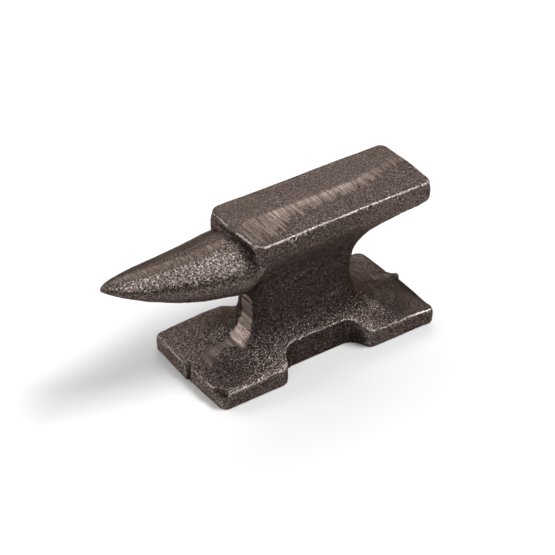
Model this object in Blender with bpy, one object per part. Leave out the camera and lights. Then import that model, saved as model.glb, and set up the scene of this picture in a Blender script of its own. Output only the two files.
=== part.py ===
"""A miniature bench anvil: one iron casting, 101 mm long from horn tip to heel.

X runs along the anvil, horn at -X and heel at +X. Y runs across it and Z is up.
The origin is the middle of the sole. Units are metres, and MM turns millimetres into them.

The mould parted on the plane Y = 0, so every face that looks along X or Z falls away
from that plane by the mould's draft, and the anvil is the same on both sides of it.
"""

import math

import bmesh
import bpy
import numpy as np

MM = 0.001

# Whole casting
TABLE_HEIGHT = 46.4 * MM
DRAFT = 0.04  # rise over run of a drafted face, about 2.3 degrees
CORNER_SEGMENTS = 8
SIDE_SEGMENTS = 6
END_SEGMENTS = 4  # even, so that each end has its ridge on the parting plane

# Base
BASE_FRONT = -36.1 * MM
BASE_HEEL = 36.1 * MM
BASE_HALF_WIDTH = 17.5 * MM
BASE_EDGE = 5.3 * MM
BASE_CORNER = 2.2 * MM
NOTCH_WALL_HALF = 8.7 * MM
NOTCH_DEPTH = 6.1 * MM
NOTCH_SIDE_ANGLE = 65.0
NOTCH_INNER_RADIUS = 4.4 * MM
NOTCH_OUTER_RADIUS = 3.0 * MM

# Table, the block that carries the working face
TABLE_FRONT = -21.6 * MM
TABLE_HEEL = 38.1 * MM
TABLE_HALF_WIDTH = 12.0 * MM
TABLE_CORNER = 2.4 * MM
TABLE_EDGE_ROUND = 0.8 * MM
TABLE_EDGE_ANGLES = (0, 25, 50, 75)  # levels of the rounded top edge
GROUND_HALF_WIDTH = 3.5 * MM  # strip dressed flat where the parting line ran over the table
EDGE_ROUND = 0.35 * MM

# From the base's top edge to the table's lower edge, in millimetres:
# height, front, heel, half width, corner length along X, corner length along Y
WAIST_STATIONS = (
    (5.3, -35.7, 35.7, 17.1, 2.2, 2.2),
    (5.9, -34.2, 34.2, 16.4, 15.0, 8.0),
    (7.0, -29.6, 29.8, 14.2, 15.0, 9.0),
    (8.6, -23.2, 23.8, 11.3, 11.0, 7.0),
    (11.2, -18.4, 19.0, 8.9, 6.5, 5.5),
    (15.5, -16.7, 16.4, 7.4, 4.8, 4.6),
    (21.0, -16.7, 15.6, 6.8, 4.6, 4.4),
    (28.0, -18.6, 16.8, 7.1, 4.8, 4.6),
    (33.5, -20.2, 21.5, 8.4, 6.5, 5.0),
    (37.0, -21.0, 30.0, 10.2, 8.5, 5.0),
    (39.2, -21.4, 37.5, 11.5, 3.4, 3.0),
    (40.2, -21.6, 38.1, 12.0, 2.4, 2.4),
)
WAIST_LEVELS = 26

# Along the horn, from its root inside the waist to its tip, in millimetres:
# station along X, half width, height of the top line, depth, squareness of the upper half
HORN_STATIONS = (
    (-7.0, 4.0, 40.0, 4.0, 2.0),
    (-13.0, 6.4, 42.0, 10.0, 2.0),
    (-17.5, 9.2, 43.2, 14.6, 2.1),
    (-21.6, 11.5, 43.8, 17.0, 2.2),
    (-31.5, 10.1, 44.0, 15.6, 2.0),
    (-41.8, 8.2, 44.0, 12.8, 1.9),
    (-52.1, 5.8, 43.9, 8.1, 1.9),
    (-58.3, 3.35, 43.75, 4.5, 1.9),
    (-61.2, 1.75, 43.4, 2.4, 2.0),
    (-62.1, 1.0, 42.95, 1.4, 2.0),
)
HORN_TIP = -62.4 * MM
HORN_UNDER_SQUARENESS = 1.9
HORN_UPPER_SHARE = 0.49  # of the depth at each station, above the widest line
HORN_LEVELS = 24
HORN_SIDES = 40

CUTTER_CLEARANCE = 2.5 * MM  # how far a cutter runs past what it trims

IRON_COLOUR = (0.085, 0.073, 0.067, 1.0)
IRON_ROUGHNESS = 0.55
IRON_METALLIC = 0.85


def clear_scene():
    for obj in list(bpy.data.objects):
        bpy.data.objects.remove(obj, do_unlink=True)


def new_collection(name):
    collection = bpy.data.collections.new(name)
    bpy.context.scene.collection.children.link(collection)
    return collection


def cast_iron():
    material = bpy.data.materials.new("cast_iron")
    material.use_nodes = True
    shader = material.node_tree.nodes["Principled BSDF"]
    shader.inputs["Base Color"].default_value = IRON_COLOUR
    shader.inputs["Roughness"].default_value = IRON_ROUGHNESS
    shader.inputs["Metallic"].default_value = IRON_METALLIC
    return material


def smooth_curve(stations, positions):
    """Every column of the stations at the positions, with no overshoot between stations."""
    table = np.array(stations, dtype=float)
    table = table[np.argsort(table[:, 0])]
    known, values = table[:, 0], table[:, 1:]
    slopes = np.diff(values, axis=0) / np.diff(known)[:, None]
    before, after = slopes[:-1], slopes[1:]
    same_way = before * after > 0
    total = np.where(same_way, before + after, 1.0)
    inner = np.where(same_way, 2 * before * after / total, 0.0)
    tangents = np.vstack([slopes[:1], inner, slopes[-1:]])
    rows = []
    for position in positions:
        index = int(np.clip(np.searchsorted(known, position) - 1, 0, len(known) - 2))
        span = known[index + 1] - known[index]
        t = (position - known[index]) / span
        rows.append(
            (1 + 2 * t) * (1 - t) ** 2 * values[index]
            + t * (1 - t) ** 2 * span * tangents[index]
            + t * t * (3 - 2 * t) * values[index + 1]
            + t * t * (t - 1) * span * tangents[index + 1]
        )
    return np.array(rows)


def plan_ring(height, front, heel, half_width, corner_x, corner_y):
    """A level outline with elliptical corners and drafted ends, anticlockwise from above."""
    straight_x = heel - front - 2 * corner_x
    straight_y = 2 * (half_width - corner_y)
    centres = (
        (heel - corner_x, corner_y - half_width, -math.pi / 2),
        (heel - corner_x, half_width - corner_y, 0.0),
        (front + corner_x, half_width - corner_y, math.pi / 2),
        (front + corner_x, corner_y - half_width, math.pi),
    )
    runs = (
        (0.0, straight_y, END_SEGMENTS),
        (-straight_x, 0.0, SIDE_SEGMENTS),
        (0.0, -straight_y, END_SEGMENTS),
        (straight_x, 0.0, SIDE_SEGMENTS),
    )
    points = []
    for (centre_x, centre_y, start), (run_x, run_y, segments) in zip(centres, runs):
        for step in range(CORNER_SEGMENTS + 1):
            angle = start + math.pi / 2 * step / CORNER_SEGMENTS
            x = centre_x + corner_x * math.cos(angle)
            y = centre_y + corner_y * math.sin(angle)
            points.append((x, y))
        last_x, last_y = points[-1]
        for step in range(1, segments):
            share = step / segments
            points.append((last_x + run_x * share, last_y + run_y * share))
    middle = (front + heel) / 2
    ring = []
    for x, y in points:
        towards_end = min(1.0, max(-1.0, (x - middle) / (heel - corner_x - middle)))
        bulge = DRAFT * (half_width - abs(y)) * towards_end
        ring.append((x + bulge, y, height))
    return ring


def level_spread(count):
    """Shares from 0 to 1, closer together at both ends, where the waist flares."""
    even = np.linspace(0.0, 1.0, count)
    return 0.35 * even + 0.65 * (1 - np.cos(math.pi * even)) / 2


def block_rings():
    """Level outlines from the sole to just above the table."""
    base = (BASE_FRONT, BASE_HEEL, BASE_HALF_WIDTH, BASE_CORNER, BASE_CORNER)
    sole = (BASE_FRONT + EDGE_ROUND, BASE_HEEL - EDGE_ROUND, BASE_HALF_WIDTH - EDGE_ROUND)
    rings = [
        plan_ring(0.0, *sole, BASE_CORNER, BASE_CORNER),
        plan_ring(EDGE_ROUND, *base),
        plan_ring(BASE_EDGE - EDGE_ROUND, *base),
    ]
    lowest = WAIST_STATIONS[0][0]
    highest = WAIST_STATIONS[-1][0]
    heights = lowest + (highest - lowest) * level_spread(WAIST_LEVELS)
    for height, row in zip(heights, smooth_curve(WAIST_STATIONS, heights)):
        rings.append(plan_ring(height * MM, *(row * MM)))
    for angle in np.radians(TABLE_EDGE_ANGLES):
        inset = TABLE_EDGE_ROUND * (1 - math.cos(angle))
        table = (TABLE_FRONT + inset, TABLE_HEEL - inset, TABLE_HALF_WIDTH - inset)
        height = TABLE_HEIGHT - TABLE_EDGE_ROUND * (1 - math.sin(angle))
        rings.append(plan_ring(height, *table, TABLE_CORNER, TABLE_CORNER))
    rings.append([(x, y, TABLE_HEIGHT + TABLE_EDGE_ROUND) for x, y, z in rings[-1]])
    return rings


def horn_rings():
    """Upright outlines from the horn's root to its tip."""
    root = HORN_STATIONS[0][0]
    front = HORN_STATIONS[-1][0]
    share = np.linspace(0.0, 1.0, HORN_LEVELS)
    positions = root + (front - root) * (1 - (1 - share) ** 1.4)
    rings = []
    rows = smooth_curve(HORN_STATIONS, positions)
    for x, (half_width, top, depth, squareness) in zip(positions, rows):
        upper = HORN_UPPER_SHARE * depth
        ring = []
        for side in range(HORN_SIDES):
            angle = 2 * math.pi * side / HORN_SIDES
            sine, cosine = math.sin(angle), math.cos(angle)
            power = 2 / (squareness if sine > 0 else HORN_UNDER_SQUARENESS)
            reach = upper if sine > 0 else depth - upper
            y = half_width * math.copysign(abs(cosine) ** power, cosine)
            z = top - upper + reach * math.copysign(abs(sine) ** power, sine)
            ring.append((x * MM, y * MM, z * MM))
        rings.append(ring)
    return rings


def loft(name, rings, tip=None):
    """A closed mesh through rings of equal length, capped flat or brought to a tip."""
    mesh = bmesh.new()
    levels = [[mesh.verts.new(point) for point in ring] for ring in rings]
    count = len(rings[0])
    for lower, upper in zip(levels, levels[1:]):
        for i in range(count):
            j = (i + 1) % count
            mesh.faces.new((lower[i], lower[j], upper[j], upper[i]))
    mesh.faces.new(levels[0][::-1])
    if tip is None:
        mesh.faces.new(levels[-1])
    else:
        apex = mesh.verts.new(tip)
        for i in range(count):
            mesh.faces.new((levels[-1][i], levels[-1][(i + 1) % count], apex))
    bmesh.ops.recalc_face_normals(mesh, faces=mesh.faces)
    data = bpy.data.meshes.new(name)
    mesh.to_mesh(data)
    mesh.free()
    return bpy.data.objects.new(name, data)


def prism(name, outline, half_length):
    """A flat outline in XY extruded both ways along Z, as a closed mesh."""
    curve = bpy.data.curves.new(name, "CURVE")
    curve.dimensions = "2D"
    curve.fill_mode = "BOTH"
    curve.extrude = half_length
    spline = curve.splines.new("POLY")
    spline.points.add(len(outline) - 1)
    for point, (x, y) in zip(spline.points, outline):
        point.co = (x, y, 0.0, 1.0)
    spline.use_cyclic_u = True
    guide = bpy.data.objects.new(name + "_outline", curve)
    bpy.context.scene.collection.objects.link(guide)
    evaluated = guide.evaluated_get(bpy.context.evaluated_depsgraph_get())
    data = bpy.data.meshes.new_from_object(evaluated)
    bpy.data.objects.remove(guide, do_unlink=True)
    mesh = bmesh.new()
    mesh.from_mesh(data)
    bmesh.ops.remove_doubles(mesh, verts=mesh.verts, dist=0.001 * MM)
    bmesh.ops.recalc_face_normals(mesh, faces=mesh.faces)
    mesh.to_mesh(data)
    mesh.free()
    return bpy.data.objects.new(name, data)


def arc(centre, radius, start, end, segments):
    """Points on a circle from one angle in degrees to another."""
    angles = np.radians(np.linspace(start, end, segments + 1))
    return [(centre[0] + radius * math.cos(a), centre[1] + radius * math.sin(a)) for a in angles]


def notch_outline():
    """The side notch seen from above, open towards -Y: a flat wall, and sides that curve out of it."""
    outside = -BASE_HALF_WIDTH
    wall = outside + NOTCH_DEPTH
    turn = math.radians(NOTCH_SIDE_ANGLE)
    radii = NOTCH_INNER_RADIUS + NOTCH_OUTER_RADIUS
    straight_depth = NOTCH_DEPTH - radii * (1 - math.cos(turn))
    outer_x = NOTCH_WALL_HALF + radii * math.sin(turn) + straight_depth / math.tan(turn)
    outer_centre = (outer_x, outside + NOTCH_OUTER_RADIUS)
    inner_centre = (NOTCH_WALL_HALF, wall - NOTCH_INNER_RADIUS)
    right = arc(outer_centre, NOTCH_OUTER_RADIUS, 270, 270 - NOTCH_SIDE_ANGLE, CORNER_SEGMENTS)
    right += arc(inner_centre, NOTCH_INNER_RADIUS, 90 - NOTCH_SIDE_ANGLE, 90, CORNER_SEGMENTS)
    left = [(-x, y) for x, y in reversed(right)]
    clear = outside - CUTTER_CLEARANCE
    return right + left + [(-outer_x, clear), (outer_x, clear)]


def crown_outline():
    """What is trimmed off above the table, seen along the anvil: flat, then falling away."""
    reach = TABLE_HALF_WIDTH + CUTTER_CLEARANCE
    edge_drop = DRAFT * (reach - GROUND_HALF_WIDTH)
    over = TABLE_HEIGHT + CUTTER_CLEARANCE
    return [
        (-reach, TABLE_HEIGHT - edge_drop),
        (-GROUND_HALF_WIDTH, TABLE_HEIGHT),
        (GROUND_HALF_WIDTH, TABLE_HEIGHT),
        (reach, TABLE_HEIGHT - edge_drop),
        (reach, over),
        (-reach, over),
    ]


def make_helper(obj, collection):
    obj.hide_render = True
    obj.display_type = "WIRE"
    collection.objects.link(obj)
    return obj


def make_notch_cutters(collection):
    cutters = []
    for side, turn in (("near", 0.0), ("far", math.pi)):
        cutter = prism("notch_" + side, notch_outline(), 2 * BASE_EDGE)
        cutter.rotation_euler.z = turn
        cutter.location.z = BASE_EDGE
        cutters.append(make_helper(cutter, collection))
    return cutters


def make_crown_cutter(collection):
    cutter = prism("table_crown", crown_outline(), TABLE_HEEL - TABLE_FRONT)
    cutter.rotation_euler = (math.pi / 2, 0.0, math.pi / 2)
    return make_helper(cutter, collection)


def make_horn(collection):
    tip_height = (HORN_STATIONS[-1][2] - HORN_STATIONS[-1][3] / 2) * MM
    horn = loft("horn", horn_rings(), tip=(HORN_TIP, 0.0, tip_height))
    return make_helper(horn, collection)


def combine(target, other, operation):
    modifier = target.modifiers.new(other.name, "BOOLEAN")
    modifier.operation = operation
    modifier.solver = "EXACT"
    modifier.object = other


def main():
    clear_scene()
    parts = new_collection("anvil")
    cutters = new_collection("anvil_cutters")
    anvil = loft("anvil", block_rings())
    parts.objects.link(anvil)
    anvil.data.materials.append(cast_iron())
    combine(anvil, make_horn(cutters), "UNION")
    for notch in make_notch_cutters(cutters):
        combine(anvil, notch, "DIFFERENCE")
    combine(anvil, make_crown_cutter(cutters), "DIFFERENCE")
    anvil.data.shade_smooth()
    anvil.data.set_sharp_from_angle(angle=math.radians(35))


main()
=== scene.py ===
"""The looks of the miniature cast-iron bench anvil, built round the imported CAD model.

The anvil is one rough sand casting, so one fine mesh replaces the CAD node. The CAD shape is
rebuilt in small even quads, and then worked as the foundry left it: soft corners, a shift
between the mould halves, flash and a gate stub, and bands ground over the parting line.
Lengths are millimetres in the casting's frame, and MM turns them into metres.
"""

import math

import bmesh
import bpy
import numpy as np
from mathutils import Matrix, Vector, kdtree, noise


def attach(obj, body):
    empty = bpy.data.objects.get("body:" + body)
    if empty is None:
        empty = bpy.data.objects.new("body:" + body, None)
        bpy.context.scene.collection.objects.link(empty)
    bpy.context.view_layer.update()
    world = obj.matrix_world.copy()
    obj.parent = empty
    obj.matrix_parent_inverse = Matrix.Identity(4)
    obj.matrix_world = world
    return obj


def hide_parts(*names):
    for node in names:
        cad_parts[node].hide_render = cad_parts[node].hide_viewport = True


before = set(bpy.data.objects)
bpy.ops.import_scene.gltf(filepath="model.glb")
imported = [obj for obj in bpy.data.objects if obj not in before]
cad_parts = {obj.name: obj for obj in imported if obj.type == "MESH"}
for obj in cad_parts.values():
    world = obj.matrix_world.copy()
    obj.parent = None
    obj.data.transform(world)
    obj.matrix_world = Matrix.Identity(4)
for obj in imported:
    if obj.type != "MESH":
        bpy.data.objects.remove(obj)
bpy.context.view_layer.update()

MM = 0.001

# The casting's main faces
BASE_FRONT = -36.0
BASE_HEEL = 36.0
BASE_HALF_WIDTH = 17.5
TABLE_FRONT = -21.6
TABLE_HEEL = 38.0
TABLE_HALF_WIDTH = 12.0
WAIST_HEIGHTS = (5.3, 40.0)  # the base's top edge and the table's lower edge

# The mesh, and how the sand left the iron
VOXEL = 0.40  # edge of the even quads
PARTING_Y = 0.3
MOULD_WAVES = ((14, 0.16, 1), (6, 0.11, 2), (2.6, 0.06, 3), (1.2, 0.06, 4))  # size, depth, seed
PIT_COUNT = 1500
PIT_SEED = 7
NICK_COUNT = 30
NICK_SEED = 11

# Marks that this one casting has
GATE_STUB = (33.4, 1.9, 4.9)
FLASH_SPUR = (-22.5, 0.3, 43.1)
BLOCK_CORNERS = ((-20.1, -9.7), (-19.5, 9.0))  # (x, y) of the metal below the table's front
JOINT_SLOT = (-36.8, 0.0, 2.4)
CHIP_START = (-36.2, -13.0)
CHIP_RUN = (1.4, -2.6)
LEG_SEED = 21
TONGUE_SEED = 22
FACET_FOOT = (-21.5, -1.5, 8.6)
# Flats ground down the front of the waist, seen from the side as (x, z) points going up
LEG_FACETS = (
    (-24.4, 8.15),
    (-22.4, 8.55),
    (-18.6, 11.4),
    (-16.75, 14.6),
    (-16.55, 19.5),
    (-18.2, 23.5),
)

# Colours, as a dark and a light end where there are two
SKIN = ((0.056, 0.042, 0.038), (0.225, 0.176, 0.160))
EVEN_SKIN = ((0.036, 0.028, 0.025), (0.145, 0.113, 0.103))
# painted shade: the dark skin laid on where the casting lies in shade
PAINTED_SHADE_SKIN = ((0.012, 0.009, 0.008), (0.060, 0.045, 0.041))
STAIN = (0.075, 0.055, 0.047)
PIT_BOTTOM = (0.014, 0.0105, 0.0095)
HOLLOW_SHADE = (0.012, 0.0095, 0.0085)
# painted glints: bright specks for the grain's sparkle under the lamps
PAINTED_GLINT = (0.40, 0.335, 0.305)
GROUND_METAL = ((0.070, 0.053, 0.045), (0.205, 0.161, 0.139))
BRIGHT_METAL = ((0.100, 0.076, 0.065), (0.44, 0.35, 0.305))
PASS_SHADE = (0.088, 0.064, 0.053)
# worn edge metal, partly a painted highlight
WORN_RIM_AND_HIGHLIGHT = (0.40, 0.34, 0.31)
EDGE_TINT = (0.42, 0.36, 0.33, 1.0)
FLOOR_PALE = ((0.86, 0.86, 0.86), (0.90, 0.90, 0.90))

# Camera, fitted to the straight edges of the base and the table
VIEW_AZIMUTH = -34.17
VIEW_ELEVATION = 36.49
VIEW_DISTANCE = 584.0
VIEW_CENTRE = (-6.34, 0.0, 23.59)
VIEW_LENS = 135.03
SENSOR_WIDTH = 36.0

# Studio
FLOOR_HALF_SIZE = 4.0  # metres
WORLD_STRENGTH = 0.25
LIGHT_CENTRE = (0.0, 0.0, 20.0)
LIGHT_DISTANCE = 1500
# name, azimuth, elevation, (width, height), watts
SOFTBOXES = (
    ("key", 52, 59, (720, 480), 18.0),
    ("back_left", -140, 33, (1200, 900), 9.5),
    ("back_right", 144, 38, (900, 700), 6.4),
    ("front_left", -52, 28, (800, 600), 2.6),
)


# ---------------------------------------------------------------- casting: numeric helpers

def ramp(values, low, high):
    """0 below low, 1 above high, smooth between. low may be the larger of the two."""
    share = np.clip((values - low) / (high - low), 0.0, 1.0)
    return share * share * (3 - 2 * share)


def between(values, low, high, soft):
    """1 from low to high, falling to 0 over a soft edge on both sides."""
    return ramp(values, low - soft, low + soft) * ramp(values, high + soft, high - soft)


def bump_at(points, centre, radius):
    """1 at the centre, falling smoothly to 0 at the radius, which may differ by axis."""
    distance = np.linalg.norm((points - np.array(centre)) / np.array(radius), axis=1)
    return ramp(distance, 1.0, 0.0)


def patch_at(points, centre, radius, gain):
    """A bump made steeper by the gain, so that its middle is a plateau of 1."""
    return np.clip(gain * bump_at(points, centre, radius), 0, 1)


def noise_field(points, size, seed):
    """Smooth noise from about -1 to 1 with features of the given size."""
    shift = Vector((seed * 17.3, seed * 5.1, seed * 9.7))
    return np.array([noise.noise(Vector(p) / size + shift) for p in points])


class Surface:
    """The casting's vertices as arrays, with what the sculpting steps need."""

    def __init__(self, mesh):
        self.mesh = mesh
        count = len(mesh.vertices)
        flat = np.empty(count * 3, np.float32)
        mesh.vertices.foreach_get("co", flat)
        self.points = flat.reshape(-1, 3).astype(float) / MM
        ends = np.empty(len(mesh.edges) * 2, np.int32)
        mesh.edges.foreach_get("vertices", ends)
        self.first, self.second = ends.reshape(-1, 2).T
        self.degree = np.bincount(ends, minlength=count)

    def neighbour_mean(self, values):
        count = len(values)
        total = np.bincount(self.first, values[self.second], count)
        total += np.bincount(self.second, values[self.first], count)
        return total / self.degree

    def smooth(self, weight, rounds):
        for _ in range(rounds):
            for axis in range(3):
                column = self.points[:, axis]
                column += weight * 0.5 * (self.neighbour_mean(column) - column)

    def blur(self, values, rounds):
        for _ in range(rounds):
            values = 0.5 * (values + self.neighbour_mean(values))
        return values

    def pull(self, centre, radius, move):
        """Moves the points round the centre, the nearest ones the whole way."""
        self.points += bump_at(self.points, centre, radius)[:, None] * np.array(move)

    def write(self):
        flat = (self.points * MM).astype(np.float32).ravel()
        self.mesh.vertices.foreach_set("co", flat)
        self.mesh.update()

    def normals(self):
        self.write()
        flat = np.empty(len(self.points) * 3, np.float32)
        self.mesh.vertices.foreach_get("normal", flat)
        return flat.reshape(-1, 3).astype(float)

    def bulge(self, rounds):
        """How far each vertex stands out from its smoothed surroundings: edges +, creases -."""
        smoothed = self.points.copy()
        for _ in range(rounds):
            for axis in range(3):
                smoothed[:, axis] = 0.5 * (smoothed[:, axis] + self.neighbour_mean(smoothed[:, axis]))
        return ((self.points - smoothed) * self.normals()).sum(axis=1)

    def store(self, name, values):
        layer = self.mesh.attributes.new(name, "FLOAT", "POINT")
        layer.data.foreach_set("value", np.clip(values, 0, 1).astype(np.float32))


# ---------------------------------------------------------------- casting: shape

def add_block(shape, centre, size, turn_y=0.0):
    """A small block of metal standing into the casting, merged with it by the remesh."""
    turn = Matrix.Rotation(math.radians(turn_y), 4, "Y")
    stretch = Matrix.Diagonal((*(Vector(size) * MM), 1.0))
    place = Matrix.Translation(Vector(centre) * MM) @ turn @ stretch
    bmesh.ops.create_cube(shape, size=1.0, matrix=place)


def even_mesh():
    """The CAD casting, its stub, flash and deep front corners, as one closed mesh of even quads."""
    shape = bmesh.new()
    shape.from_mesh(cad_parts["anvil"].data)
    add_block(shape, GATE_STUB, (7.9, 3.6, 3.6), turn_y=7.5)
    add_block(shape, FLASH_SPUR, (2.8, 0.8, 1.4), turn_y=-25)
    for front, side in BLOCK_CORNERS:
        add_block(shape, (front, side, 38.4), (2.6, 4.4, 5.6))
        add_block(shape, (front + 1.7, side, 39.3), (5.0, 4.0, 3.4), turn_y=-35)
    mesh = bpy.data.meshes.new("casting_coarse")
    shape.to_mesh(mesh)
    shape.free()
    casting = bpy.data.objects.new("casting", mesh)
    bpy.context.scene.collection.objects.link(casting)
    remesh = casting.modifiers.new("even_quads", "REMESH")
    remesh.mode = "VOXEL"
    remesh.voxel_size = VOXEL * MM
    evaluated = casting.evaluated_get(bpy.context.evaluated_depsgraph_get())
    fine = bpy.data.meshes.new_from_object(evaluated)
    casting.modifiers.clear()
    casting.data = fine
    return casting


def fill_creases(surface):
    """Rounds the inside corners where the horn meets the waist and, less, the table block."""
    x, y, z = surface.points.T
    block_corner = ramp(np.abs(y), 7.5, 9.0) * ramp(z, 35.0, 36.5)
    near_root = ramp(x, -27, -24) * ramp(x, -5, -9) * ramp(z, 22, 26) * (1 - 0.9 * block_corner)
    under_table = ramp(z, 39.5, 36.5)
    crease = ramp(-surface.bulge(6), 0.01, 0.05)
    weight = near_root * np.clip(surface.blur(crease, 2) * 1.6, 0, 1)
    surface.smooth(weight * (0.30 + 0.70 * under_table) * ramp(z, 44.2, 43.2), 50)
    surface.smooth(near_root * under_table * ramp(x, -24, -19), 150)


def soften(surface):
    """Rounds the gate stub off, and then every edge a little."""
    surface.smooth(bump_at(surface.points, (33.6, 1.9, 6.0), (6.5, 4.5, 4.0)), 14)
    surface.smooth(np.ones(len(surface.points)), 2)


def slot_share(points):
    """Share of each vertex in the groove that the mould joint left down the base's left end."""
    return bump_at(points, JOINT_SLOT, (1.8, 0.80, 4.8))


def shift_mould(surface):
    """The two halves of the mould sat half a millimetre apart, and the base a little off centre."""
    points = surface.points
    y, z = points[:, 1], points[:, 2]
    halves = np.tanh((y - PARTING_Y) / 0.15)
    points[:, 0] -= 0.26 * halves * (1 - 0.9 * ramp(z, 43.0, 44.5))
    points[:, 1] += 0.45 * ramp(z, 22, 10)
    points += slot_share(points)[:, None] * np.array((1.3, 0.0, 0.0))
    surface.pull((-35.9, 1.3, 5.6), (0.9, 0.9, 1.2), (0.0, 0.0, 0.35))


def shape_corners(surface):
    """The pattern's corners differ: some are crisp and some rubbed away."""
    points = surface.points
    x, y, z = points.T
    # centre, radius and move of each corner
    corners = (
        ((-36.4, 18.0, 2.5), (3.5, 3.5, 9), (-0.50, 0.40, 0.0)),
        ((36.8, -17.4, 2.5), (4.5, 4.5, 9), (0.95, -0.55, 0.0)),
        ((-36.2, -17.0, 2.5), (3.0, 3.0, 9), (0.25, 0.25, 0.0)),
        ((37.0, 3.9, 6.0), (2.4, 2.4, 3.5), (-1.1, -0.7, -0.2)),
        ((37.6, 1.4, 6.2), (1.6, 1.4, 2.0), (0.6, 0.0, 0.2)),
        ((38.4, -12.0, 43.0), (3.0, 3.0, 5), (0.30, -0.15, 0.0)),
        ((-21.6, 12.0, 46.4), (4.0, 4.0, 3), (0.2, -0.3, -0.25)),
        ((-21.4, -13.0, 44.0), (3.4, 3.4, 8), (0.95, 0.85, 0.0)),
    )
    points[:, 0] += 0.25 * ramp(x, 28, 36) * ramp(y, 2, -4) * ramp(z, 12, 7)
    front = between(x, -22.6, -19.0, 1.5) * ramp(z, 30, 36)
    points[:, 0] += front * (0.25 + 0.65 * ramp(y, 9, -12))
    points[:, 1] -= 0.55 * ramp(y, -9, -12) * ramp(z, 40, 44) * ramp(x, 2, -16)
    for centre, radius, move in corners:
        surface.pull(centre, radius, move)
    rise = ramp(np.abs(y), 9, 17) * ramp(z, 3, 5)
    points[:, 2] += 0.45 * rise * ramp(np.abs(x), 31, 19) * ramp(np.abs(x), 8, 14)
    points[:, 2] += 0.35 * rise * ramp(y, 0, 1) * ramp(x, -10, -16) * ramp(x, -36, -30)


def roughen(surface):
    """Waves, swells and grit of a sand mould, from a centimetre down to a millimetre."""
    normals = surface.normals()
    points = surface.points
    above_sole = ramp(points[:, 2], 0.0, 1.0)
    calm = 1 - 0.7 * np.maximum(ramp(points[:, 2], 40, 44), smooth_skin(surface))
    height = np.zeros(len(points))
    for size, depth, seed in MOULD_WAVES:
        height += depth * noise_field(points, size, seed)
    surface.points += normals * (height * above_sole * calm)[:, None]


def add_pits(surface):
    """Small craters where sand stuck to the iron, most of them on the sides and edges."""
    random = np.random.default_rng(PIT_SEED)
    tree = kdtree.KDTree(len(surface.points))
    for index, point in enumerate(surface.points):
        tree.insert(point, index)
    tree.balance()
    normals = surface.normals()
    points = surface.points
    depth = np.zeros(len(points))
    calm = 1 - 0.8 * np.maximum(smooth_skin(surface), 0.85 * ramp(normals[:, 2], 0.7, 0.9))
    for index in random.choice(len(points), PIT_COUNT, replace=False):
        radius = random.uniform(0.45, 1.0)
        strength = random.uniform(0.04, 0.14) * calm[index]
        for _, other, distance in tree.find_range(points[index], radius):
            depth[other] = max(depth[other], strength * (1 - (distance / radius) ** 2))
    above_sole = ramp(points[:, 2], 0.2, 1.0)
    surface.points -= normals * (depth * above_sole)[:, None]


def chip_share(points):
    """Share of each vertex in the chip at the base's near left corner, a short run along the rim."""
    z = points[:, 2]
    run = np.array(CHIP_RUN)
    offset = points[:, :2] - np.array(CHIP_START)
    along = np.clip(offset @ run / (run @ run), 0, 1)
    distance = np.linalg.norm(offset - along[:, None] * run, axis=1)
    return ramp(distance, 1.55, 1.05) * ramp(z, 3.2, 4.6) * ramp(z, 8.0, 7.0)


def add_damage(surface):
    """The chip at the base's corner and the nicks along the table's near edge."""
    surface.points[:, 2] -= 1.2 * chip_share(surface.points)
    random = np.random.default_rng(NICK_SEED)
    for along in random.uniform(-17, 36, NICK_COUNT):
        size = random.uniform(0.55, 0.8)
        centre = (along, -12.3, 45.5 - random.uniform(0.0, 0.3))
        surface.pull(centre, (size, size, size), (0.0, random.uniform(0.2, 0.45), 0.0))


def leg_band(points):
    """Share of each vertex in the ground strip down the front of the waist, which leans as it drops."""
    x, y, z = points.T
    ragged = 0.5 * noise_field(points * (0.2, 0.2, 1.0), 1.1, LEG_SEED)
    low = np.interp(z, (8.8, 12.5, 15.0), (-6.4, -3.3, -2.7)) + ragged
    high = np.interp(z, (8.8, 9.5, 20.0), (0.6, 2.0, 2.5)) + ragged
    return between(y, low, high, 0.25) * between(z, 8.7, 22.0, 0.3) * ramp(x, -14, -15)


def foot_patch(points):
    """Share of each vertex in the tongue that the grinder left on the top of the base."""
    x, y, z = points.T
    ragged = 0.4 * noise_field(points * (1.0, 0.2, 0.2), 1.1, TONGUE_SEED)
    low = np.interp(x, (-31.5, -29.0, -26.0, -23.0), (-5.2, -3.2, -1.9, -3.4)) + ragged
    high = np.interp(x, (-32.5, -29.5, -25.5, -22.5), (0.0, 1.8, 0.9, 0.6)) + ragged
    fade = ramp(x, -32.6, -31.4) * (1 - 0.35 * ramp(y, -2.5, -5.0) * ramp(x, -28.5, -30))
    return between(y, low, high, 0.25) * ramp(x, -21.2, -22.2) * fade * between(z, 5.5, 9.6, 0.3)


def grind_leg(surface):
    """Cuts the crest of the waist's front back to its run of flats."""
    points = surface.points
    share = surface.blur(leg_band(points), 4)
    for (x0, z0), (x1, z1) in zip(LEG_FACETS, LEG_FACETS[1:]):
        along = np.array((x1 - x0, z1 - z0))
        length = np.linalg.norm(along)
        along /= length
        outward = np.array((-along[1], along[0]))
        offset = points[:, [0, 2]] - np.array((x0, z0))
        position = offset @ along
        proud = offset @ outward
        hit = (position > -0.05) & (position < length + 0.05) & (proud > 0) & (proud < 2.0)
        cut = (proud * share)[hit]
        points[hit, 0] -= outward[0] * cut
        points[hit, 2] -= outward[1] * cut
    surface.smooth(bump_at(points, FACET_FOOT, (4.5, 6.0, 2.6)), 14)


# ---------------------------------------------------------------- casting: where each finish, painted shade and painted highlight lies

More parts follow.
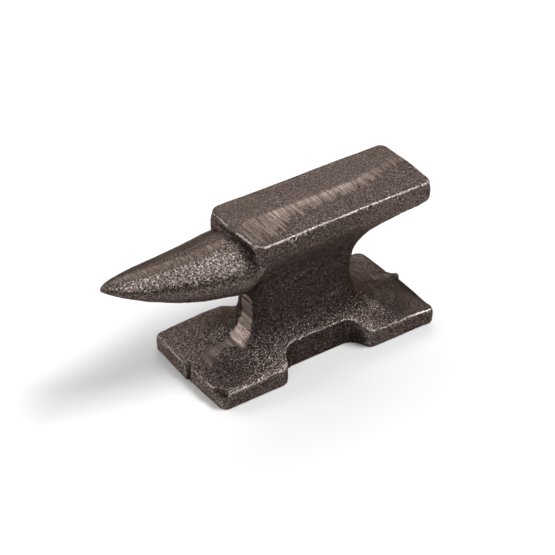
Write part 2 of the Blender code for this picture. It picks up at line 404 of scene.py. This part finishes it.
def ground_mask(surface):
    """Where a grinding belt went over the parting line, from 0 to 1."""
    points = surface.points
    x, y, z = points.T
    upward = surface.normals()[:, 2]
    edge = np.interp(x, (-22, -16, 20, 39), (-0.6, 0.9, 0.7, 4.4))
    reach = np.interp(x, (-22, -12, -4, 20, 39), (19.0, 13.0, 7.6, 5.8, 6.4))
    table = ramp(y, edge + 0.7, edge - 0.5) * ramp(y, edge - 1.3 * reach, edge - 0.25 * reach)
    fade = 1 - 0.3 * ramp(x, 22, 30) - 0.22 * ramp(x, -8, -15)
    table *= ramp(upward, 0.8, 0.95) * ramp(z, 45.2, 45.6) * fade
    top = np.interp(x, (-60, -55, -45, -34, -23), (1.0, 0.9, -0.1, -0.4, 0.2))
    bottom = np.interp(x, (-60, -46, -31, -22), (-1.0, -3.1, -3.7, -1.2))
    before_table = ramp(x, TABLE_FRONT - 1.0, TABLE_FRONT - 2.5)
    horn = between(y, bottom, top, 0.3) * ramp(z, 41.8, 42.4) * before_table
    leg = leg_band(points) * (1.0 - 0.20 * ramp(z, 14, 11))
    return np.maximum.reduce([leg, 0.72 * foot_patch(points), 0.80 * table, 0.70 * horn])


def behind_waist(points):
    """Distance towards the heel and the far side, along the edge where the base's skin changes."""
    return 0.87 * points[:, 0] + 0.5 * points[:, 1]


def heel_foot(points):
    """Share of each vertex on the base's top behind the waist, smoother than the rest."""
    z = points[:, 2]
    return ramp(behind_waist(points), 14.0, 16.5) * ramp(z, 15, 11) * ramp(z, 4.4, 5.2)


def painted_shelter_shade(surface):
    """How deep a spot lies behind the base's and the table's edges, for painted shade that darkens the skin
    there.
    """
    x, y, z = surface.points.T
    side = np.interp(z, WAIST_HEIGHTS, (BASE_HALF_WIDTH, TABLE_HALF_WIDTH)) - np.abs(y)
    heel = np.interp(z, WAIST_HEIGHTS, (BASE_HEEL, TABLE_HEEL)) - x
    front = x - np.interp(z, WAIST_HEIGHTS, (BASE_FRONT, TABLE_FRONT))
    depth = np.minimum(side, np.minimum(heel, front + 4.0))
    open_foot = 1 - heel_foot(surface.points)
    return ramp(depth, 0.5, 7.0) * ramp(z, 5.5, 10.0) * ramp(z, 45.0, 38.0) * open_foot


def smooth_skin(surface):
    """Where the sand left a finer skin: the table, the horn's far side and the base behind the waist."""
    x, y, z = surface.points.T
    table = ramp(z, 45.0, 45.8) * (0.40 + 0.35 * ramp(y, -1.0, 1.5))
    horn = ramp(x, TABLE_FRONT, TABLE_FRONT - 1) * ramp(z, 38, 42) * ramp(y, -1.5, 1.0) * 0.7
    heel = heel_foot(surface.points) * (1 - 0.20 * ramp(y, 3, 7))
    return np.maximum.reduce([table, horn, heel])


def worn_and_highlit_rims(surface):
    """The base's and the table's upper edges: worn bright, with a painted highlight on edges tilted up to
    the lamps; the other edges stay dark.
    """
    points = surface.points
    x, y, z = points.T
    bulge = surface.bulge(3)
    crown = between(surface.normals()[:, 2], 0.42, 0.86, 0.14)
    table = ramp(bulge, 0.022, 0.050) * ramp(z, 43.8, 45.0)
    table *= 1 - 0.5 * ramp(x, -17.5, -19.5) * ramp(y, -13, 2)
    outer = np.maximum(ramp(np.abs(y), 14.5, 15.5), ramp(np.abs(x), 34.0, 35.0))
    base = ramp(bulge, 0.010, 0.034) * between(z, 4.0, 7.0, 0.6) * outer
    base *= 1 - 0.3 * ramp(x, -33, -35)
    notch = 0.58 * ramp(bulge, 0.002, 0.010) * between(z, 4.6, 11.0, 0.6)
    notch *= ramp(np.abs(y), 9.6, 10.6) * ramp(np.abs(x), 15, 13)
    # painted highlight on the flash spur
    spur = 1.2 * bump_at(points, (-23.0, 0.35, 43.1), (1.8, 0.6, 1.5))
    # the slot, the chip, the gate stub and the table's edge over the horn stay dark
    dark_spots = (
        ((-36.6, 0.6, 5.0), (3.0, 2.5, 8.0)),
        ((-35.5, -14.2, 5.0), (3.2, 3.0, 3.5)),
        ((34.5, 1.9, 6.0), (6.0, 4.0, 4.0)),
        ((-21.6, 0.3, 45.0), (1.6, 1.2, 2.0)),
    )
    edges = np.maximum(table, np.maximum(base, notch) * crown)
    for centre, radius in dark_spots:
        edges = edges * (1 - patch_at(points, centre, radius, 2))
    return np.maximum(edges, spur)


def painted_highlight_mask(surface):
    """Painted highlight where the sand's relief shines: the horn's shoulder, the waist's feet and the base's
    near edge.
    """
    points = surface.points
    x, y, z = points.T
    facing = surface.normals()
    # painted highlight: the shoulder mask picks the normals that reflect the key lamp towards the camera
    shoulder = ramp(facing[:, 2] * 0.76 - facing[:, 1] * 0.62 - facing[:, 0] * 0.1, 0.83, 0.96)
    horn = (0.74 + 0.26 * ramp(x, -40, -28)) * shoulder
    horn *= ramp(x, TABLE_FRONT - 0.5, TABLE_FRONT - 4) * ramp(z, 26, 30)
    crest = bump_at(points, (-24.0, 4.0, 9.0), (5.5, 4.5, 5.0))
    flare = 0.8 * between(behind_waist(points), 12.0, 14.6, 0.9) * ramp(z, 15, 12)
    flare *= ramp(y, -3, -5) * ramp(y, -15.5, -12)
    foot = 0.55 * bump_at(points, (-16.0, -11.0, 7.0), (14.0, 7.0, 7.0))
    waist = 0.40 * ramp(y, -4.0, -7.0) * ramp(z, 17.0, 9.0) * ramp(np.abs(x), 22, 15)
    end = 0.95 * ramp(facing[:, 0], -0.7, -0.9) * ramp(x, -34, -36) * ramp(z, 6, 5)
    rim = 0.75 * ramp(y, -13.0, -16.5) * ramp(z, 4.2, 5.0) * ramp(z, 9.0, 7.0) * ramp(x, 16, 12)
    far_foot = 0.5 * bump_at(points, (-31.0, 7.0, 5.3), (9.0, 10.0, 5.0)) ** 0.5
    return np.maximum.reduce([horn, crest, flare, foot, waist, end, rim, far_foot])


def notch_wall(surface):
    """Share of each vertex on the upright walls of the two notches in the base's sides."""
    x, y, z = surface.points.T
    upright = ramp(np.abs(surface.normals()[:, 2]), 0.60, 0.35)
    return upright * ramp(np.abs(x), 13.0, 12.0) * ramp(np.abs(y), 10.0, 11.0) * ramp(z, 9.5, 8.5)


def painted_shade_mask(surface):
    """Painted shade as a dark skin: under the horn's shoulder, on the near faces, feet, notches, chip and
    slot.
    """
    points = surface.points
    x, y, z = points.T
    facing = surface.normals()
    # painted shade under the horn's widest line
    below = between(facing[:, 2], 0.22, 0.52, 0.12) * ramp(facing[:, 1], -0.5, -0.7)
    horn = 0.75 * below * ramp(x, TABLE_FRONT + 1, TABLE_FRONT - 1)
    right_corner = patch_at(points, (9.6, -13.2, 2.0), (8.0, 4.5, 7.0), 1.5)
    left_corner = 0.7 * bump_at(points, (-10.6, -13.2, 2.0), (4.5, 3.0, 6.5))
    near_face = ramp(-facing[:, 1], 0.7, 0.9)
    base_side = 0.40 * ramp(z, 5.0, 4.0) * ramp(-y, 15.5, 16.5)
    table_side = 0.40 * ramp(z, 39, 41) * ramp(x, 22, 5)
    side = near_face * (base_side + table_side)
    top = ramp(z, 4.6, 5.2) * ramp(z, 9.0, 7.0) * ramp(facing[:, 2], 0.8, 0.95)
    left_foot = top * bump_at(points, (-28.0, -8.5, 5.5), (13.0, 10.0, 6.0)) ** 0.5
    right_foot = 0.85 * top * ramp(x, 14, 20) * ramp(y, 7, 0)
    seams = 1.4 * np.maximum(chip_share(points), slot_share(points))
    corners = np.maximum.reduce([right_corner, left_corner, notch_wall(surface), seams])
    return np.maximum.reduce([horn, corners, side, left_foot, right_foot])


def painted_hollow_shade_mask(surface):
    """Painted shade where little light gets in: creases, the slot, the notches and the near foot."""
    points = surface.points
    upward = surface.normals()[:, 2]
    deep = patch_at(points, (11.2, -13.0, 2.0), (5.5, 4.0, 7.0), 1.6) * ramp(upward, 0.5, 0.2)
    slot = np.clip(2.0 * slot_share(points - (1.0, 0.0, 0.0)), 0, 1)
    wall = 0.25 * notch_wall(surface)
    near_foot = 0.35 * bump_at(points, (-27.0, -9.5, 5.5), (8.0, 6.5, 5.0))
    away_from_facets = 1 - patch_at(points, FACET_FOOT, (4.0, 5.0, 3.0), 2)
    crease = ramp(surface.blur(-surface.bulge(12), 2), 0.02, 0.20)
    return np.maximum.reduce([deep, slot, wall, near_foot, away_from_facets * crease])


def make_casting():
    casting = even_mesh()
    surface = Surface(casting.data)
    for step in (fill_creases, soften, shift_mould, shape_corners, add_damage, roughen, add_pits, grind_leg):
        step(surface)
    finishes_and_painted_light = {
        "ground": ground_mask,
        # painted shade deep behind the base's and the table's edges
        "painted_shelter_shade": painted_shelter_shade,
        "smooth": smooth_skin,
        # edge wear with painted highlight
        "wear_and_highlight": worn_and_highlit_rims,
        # painted highlight
        "painted_highlight": painted_highlight_mask,
        # the scale attribute holds painted shade
        "scale": painted_shade_mask,
        # painted shade in creases and recesses
        "painted_hollow_shade": painted_hollow_shade_mask,
    }
    for name, share_of in finishes_and_painted_light.items():
        surface.store(name, share_of(surface))
    surface.write()
    casting.data.shade_smooth()
    return casting


# ---------------------------------------------------------------- materials

class Nodes:
    """Short calls for wiring a procedural material."""

    def __init__(self, material):
        material.use_nodes = True
        self.tree = material.node_tree
        self.shader = self.tree.nodes["Principled BSDF"]

    def new(self, kind, **settings):
        node = self.tree.nodes.new("ShaderNode" + kind)
        for name, value in settings.items():
            setattr(node, name, value)
        return node

    def link(self, source, target):
        if isinstance(source, (int, float)):
            target.default_value = source
        elif isinstance(source, tuple):
            target.default_value = (*source, 1.0)
        else:
            self.tree.links.new(source, target)

    def math(self, operation, first, second=0.0):
        node = self.new("Math", operation=operation)
        self.link(first, node.inputs[0])
        self.link(second, node.inputs[1])
        return node.outputs[0]

    def times(self, first, *factors):
        for factor in factors:
            first = self.math("MULTIPLY", first, factor)
        return first

    def plus(self, first, *terms):
        for term in terms:
            first = self.math("ADD", first, term)
        return first

    def less(self, value, share):
        """1 less a share of the value."""
        return self.math("SUBTRACT", 1.0, self.times(value, share))

    def swing(self, texture, amount):
        """The texture's distance above or below its middle, times the amount."""
        return self.times(self.math("SUBTRACT", texture, 0.5), amount)

    def ramp(self, value, low, high):
        node = self.new("MapRange", interpolation_type="SMOOTHSTEP")
        self.link(value, node.inputs["Value"])
        self.link(low, node.inputs["From Min"])
        self.link(high, node.inputs["From Max"])
        return node.outputs["Result"]

    def mix(self, share, first, second):
        node = self.new("Mix", data_type="RGBA")
        self.link(share, node.inputs["Factor"])
        self.link(first, node.inputs[6])
        self.link(second, node.inputs[7])
        return node.outputs[2]

    def attribute(self, name):
        return self.new("Attribute", attribute_name=name).outputs["Fac"]

    def noise(self, stretch, detail=2.0, roughness=0.5):
        """Noise over the object in millimetres, with this many features per millimetre on each axis."""
        place = self.new("TexCoord").outputs["Object"]
        scale = self.new("VectorMath", operation="MULTIPLY")
        self.link(place, scale.inputs[0])
        scale.inputs[1].default_value = tuple(s / MM for s in stretch)
        node = self.new("TexNoise")
        self.link(scale.outputs[0], node.inputs["Vector"])
        node.inputs["Scale"].default_value = 1.0
        node.inputs["Detail"].default_value = detail
        node.inputs["Roughness"].default_value = roughness
        return node.outputs["Fac"]


class CastIron(Nodes):
    """The casting's material: what the mould, the grinder and rubbing left on it, with painted shade,
    painted highlights and painted glints.
    """

    def __init__(self, material):
        super().__init__(material)
        self.ground = self.attribute("ground")
        self.smooth = self.attribute("smooth")
        self.painted_highlight = self.attribute("painted_highlight")
        worm = self.noise((0.95, 0.95, 0.95), detail=1.0, roughness=0.4)
        from_middle = self.math("ABSOLUTE", self.math("SUBTRACT", worm, 0.5))
        self.ridge = self.math("MAXIMUM", self.less(from_middle, 8.0), 0.0)
        self.grain = self.noise((1.9, 1.9, 1.9), detail=2.0, roughness=0.6)
        self.bead = self.noise((1.75, 1.75, 1.75), detail=1.0, roughness=0.5)
        self.stroke = self.noise((2.4, 0.10, 2.4), detail=3.0, roughness=0.7)
        self.calm = self.less(self.smooth, 0.75)

    def sand_skin(self):
        """The colour of the cast skin, with its stains and pits, painted shade behind edges and in recesses,
        and painted glints on the grain.
        """
        tone = self.plus(self.times(self.ridge, 0.25), self.ramp(self.grain, 0.40, 0.68))
        tone = self.plus(self.times(tone, self.calm), self.times(self.smooth, 0.34))
        skin = self.mix(self.smooth, self.mix(tone, *SKIN), self.mix(tone, *EVEN_SKIN))
        blotch = self.noise((0.28, 0.28, 0.28), detail=3.0)
        skin = self.mix(self.times(self.ramp(blotch, 0.35, 0.75), 0.30), skin, STAIN)
        # painted shade: the skin turns to a dark tone deep behind the edges and where the scale mask lies
        painted_shelter_shade_share = self.times(self.attribute("painted_shelter_shade"), 0.92)
        painted_shade_cover = self.math("MAXIMUM", painted_shelter_shade_share, self.attribute("scale"))
        skin = self.mix(self.times(painted_shade_cover, 0.85), skin, self.mix(tone, *PAINTED_SHADE_SKIN))
        pit = self.math("SUBTRACT", 1.0, self.ramp(self.bead, 0.33, 0.44))
        pit = self.times(pit, self.less(self.painted_highlight, 0.7))
        skin = self.mix(self.times(pit, self.calm, 0.75), skin, PIT_BOTTOM)
        # painted glints on the grain, most where the painted highlight lies and fewest in painted shade
        glint_field = self.plus(self.bead, self.times(self.ridge, 0.05), self.times(self.painted_highlight, 0.105))
        glint_share = self.plus(0.35, self.times(self.painted_highlight, 0.50))
        glint_share = self.times(glint_share, self.less(painted_shade_cover, 0.45), self.less(self.smooth, 0.5))
        skin = self.mix(self.times(self.ramp(glint_field, 0.61, 0.70), glint_share), skin, PAINTED_GLINT)
        # painted shade in creases and recesses
        return self.mix(self.times(self.attribute("painted_hollow_shade"), 0.7), skin, HOLLOW_SHADE)

    def bare_metal(self):
        """The colour of the ground metal: scratches, and darker stripes where passes overlap."""
        bare = self.mix(self.ramp(self.stroke, 0.34, 0.66), *GROUND_METAL)
        bright = self.mix(self.ramp(self.stroke, 0.34, 0.64), *BRIGHT_METAL)
        bare = self.mix(self.ramp(self.ground, 0.72, 0.88), bare, bright)
        pass_mark = self.noise((0.6, 0.07, 0.6), detail=2.0)
        return self.mix(self.times(self.ramp(pass_mark, 0.45, 0.70), 0.5), bare, PASS_SHADE)

    def ground_share(self):
        """1 where the metal is bare: ragged along the strokes, and broken where pits go deeper."""
        ragged = self.noise((1.5, 0.10, 1.5), detail=2.0)
        edge = self.plus(self.ground, self.swing(ragged, 1.3), self.swing(self.grain, 0.75))
        return self.times(self.ramp(edge, 0.36, 0.50), self.ramp(self.grain, 0.26, 0.38))

    def rim_share(self):
        """1 on the edges that are bright: worn by hands and work, partly a painted highlight."""
        wear_and_highlight = self.plus(self.attribute("wear_and_highlight"), self.swing(self.grain, 0.8))
        return self.ramp(wear_and_highlight, 0.32, 0.66)

    def relief(self, bare_share):
        """Height of the fine grain and of the grinding scratches, in metres."""
        sand = self.plus(self.times(self.ridge, 0.06), self.times(self.grain, 0.28))
        sand = self.plus(sand, self.times(self.ramp(self.bead, 0.40, 0.70), 0.12))
        sand = self.times(sand, self.calm, self.less(bare_share, 0.85))
        scratch = self.times(self.stroke, 0.06, bare_share)
        return self.times(self.plus(sand, scratch), MM)


def cast_iron():
    material = bpy.data.materials.new("cast_iron_skin")
    iron = CastIron(material)
    bare_share = iron.ground_share()
    rim = iron.rim_share()
    colour = iron.mix(bare_share, iron.sand_skin(), iron.bare_metal())
    iron.link(iron.mix(rim, colour, WORN_RIM_AND_HIGHLIGHT), iron.shader.inputs["Base Color"])
    rough = iron.plus(0.31, iron.times(bare_share, 0.10), iron.times(rim, 0.08))
    iron.link(rough, iron.shader.inputs["Roughness"])
    iron.shader.inputs["Metallic"].default_value = 0.95
    iron.shader.inputs["Specular Tint"].default_value = EDGE_TINT
    bump = iron.new("Bump")
    bump.inputs["Strength"].default_value = 1.0
    bump.inputs["Distance"].default_value = 1.0
    iron.link(iron.relief(bare_share), bump.inputs["Height"])
    iron.link(bump.outputs["Normal"], iron.shader.inputs["Normal"])
    return material


def pale_floor():
    material = bpy.data.materials.new("pale_floor")
    nodes = Nodes(material)
    mottle = nodes.noise((0.004, 0.004, 0.004))
    nodes.link(nodes.mix(mottle, *FLOOR_PALE), nodes.shader.inputs["Base Color"])
    nodes.shader.inputs["Roughness"].default_value = 0.9
    return material


# ---------------------------------------------------------------- studio

def direction(azimuth, elevation):
    """Unit vector from the object towards a viewer: azimuth 0 is in front, on the -Y side."""
    a, e = math.radians(azimuth), math.radians(elevation)
    return Vector((math.sin(a) * math.cos(e), -math.cos(a) * math.cos(e), math.sin(e)))


def aim(obj, azimuth, elevation, distance, centre):
    back = direction(azimuth, elevation)
    obj.location = (Vector(centre) + back * distance) * MM
    obj.rotation_euler = (-back).to_track_quat("-Z", "Y").to_euler()
    bpy.context.scene.collection.objects.link(obj)


def make_camera():
    data = bpy.data.cameras.new("camera")
    data.lens = VIEW_LENS
    data.sensor_width = SENSOR_WIDTH
    data.clip_start = 0.02
    data.clip_end = 20.0
    camera = bpy.data.objects.new("camera", data)
    aim(camera, VIEW_AZIMUTH, VIEW_ELEVATION, VIEW_DISTANCE, VIEW_CENTRE)
    bpy.context.scene.camera = camera


def make_floor():
    shape = bmesh.new()
    bmesh.ops.create_grid(shape, x_segments=8, y_segments=8, size=FLOOR_HALF_SIZE)
    mesh = bpy.data.meshes.new("floor")
    shape.to_mesh(mesh)
    shape.free()
    floor = bpy.data.objects.new("floor", mesh)
    bpy.context.scene.collection.objects.link(floor)
    floor.data.materials.append(pale_floor())


def make_lights():
    world = bpy.data.worlds.new("studio")
    world.use_nodes = True
    background = world.node_tree.nodes["Background"]
    background.inputs["Color"].default_value = (1.0, 1.0, 1.0, 1.0)
    background.inputs["Strength"].default_value = WORLD_STRENGTH
    bpy.context.scene.world = world
    bpy.context.scene.view_settings.view_transform = "Standard"
    for name, azimuth, elevation, size, watts in SOFTBOXES:
        data = bpy.data.lights.new(name, "AREA")
        data.shape = "RECTANGLE"
        data.size = size[0] * MM
        data.size_y = size[1] * MM
        data.energy = watts
        aim(bpy.data.objects.new(name, data), azimuth, elevation, LIGHT_DISTANCE, LIGHT_CENTRE)


make_camera()
make_floor()
make_lights()
casting = make_casting()
casting.data.materials.append(cast_iron())
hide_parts("anvil")
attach(casting, "root")
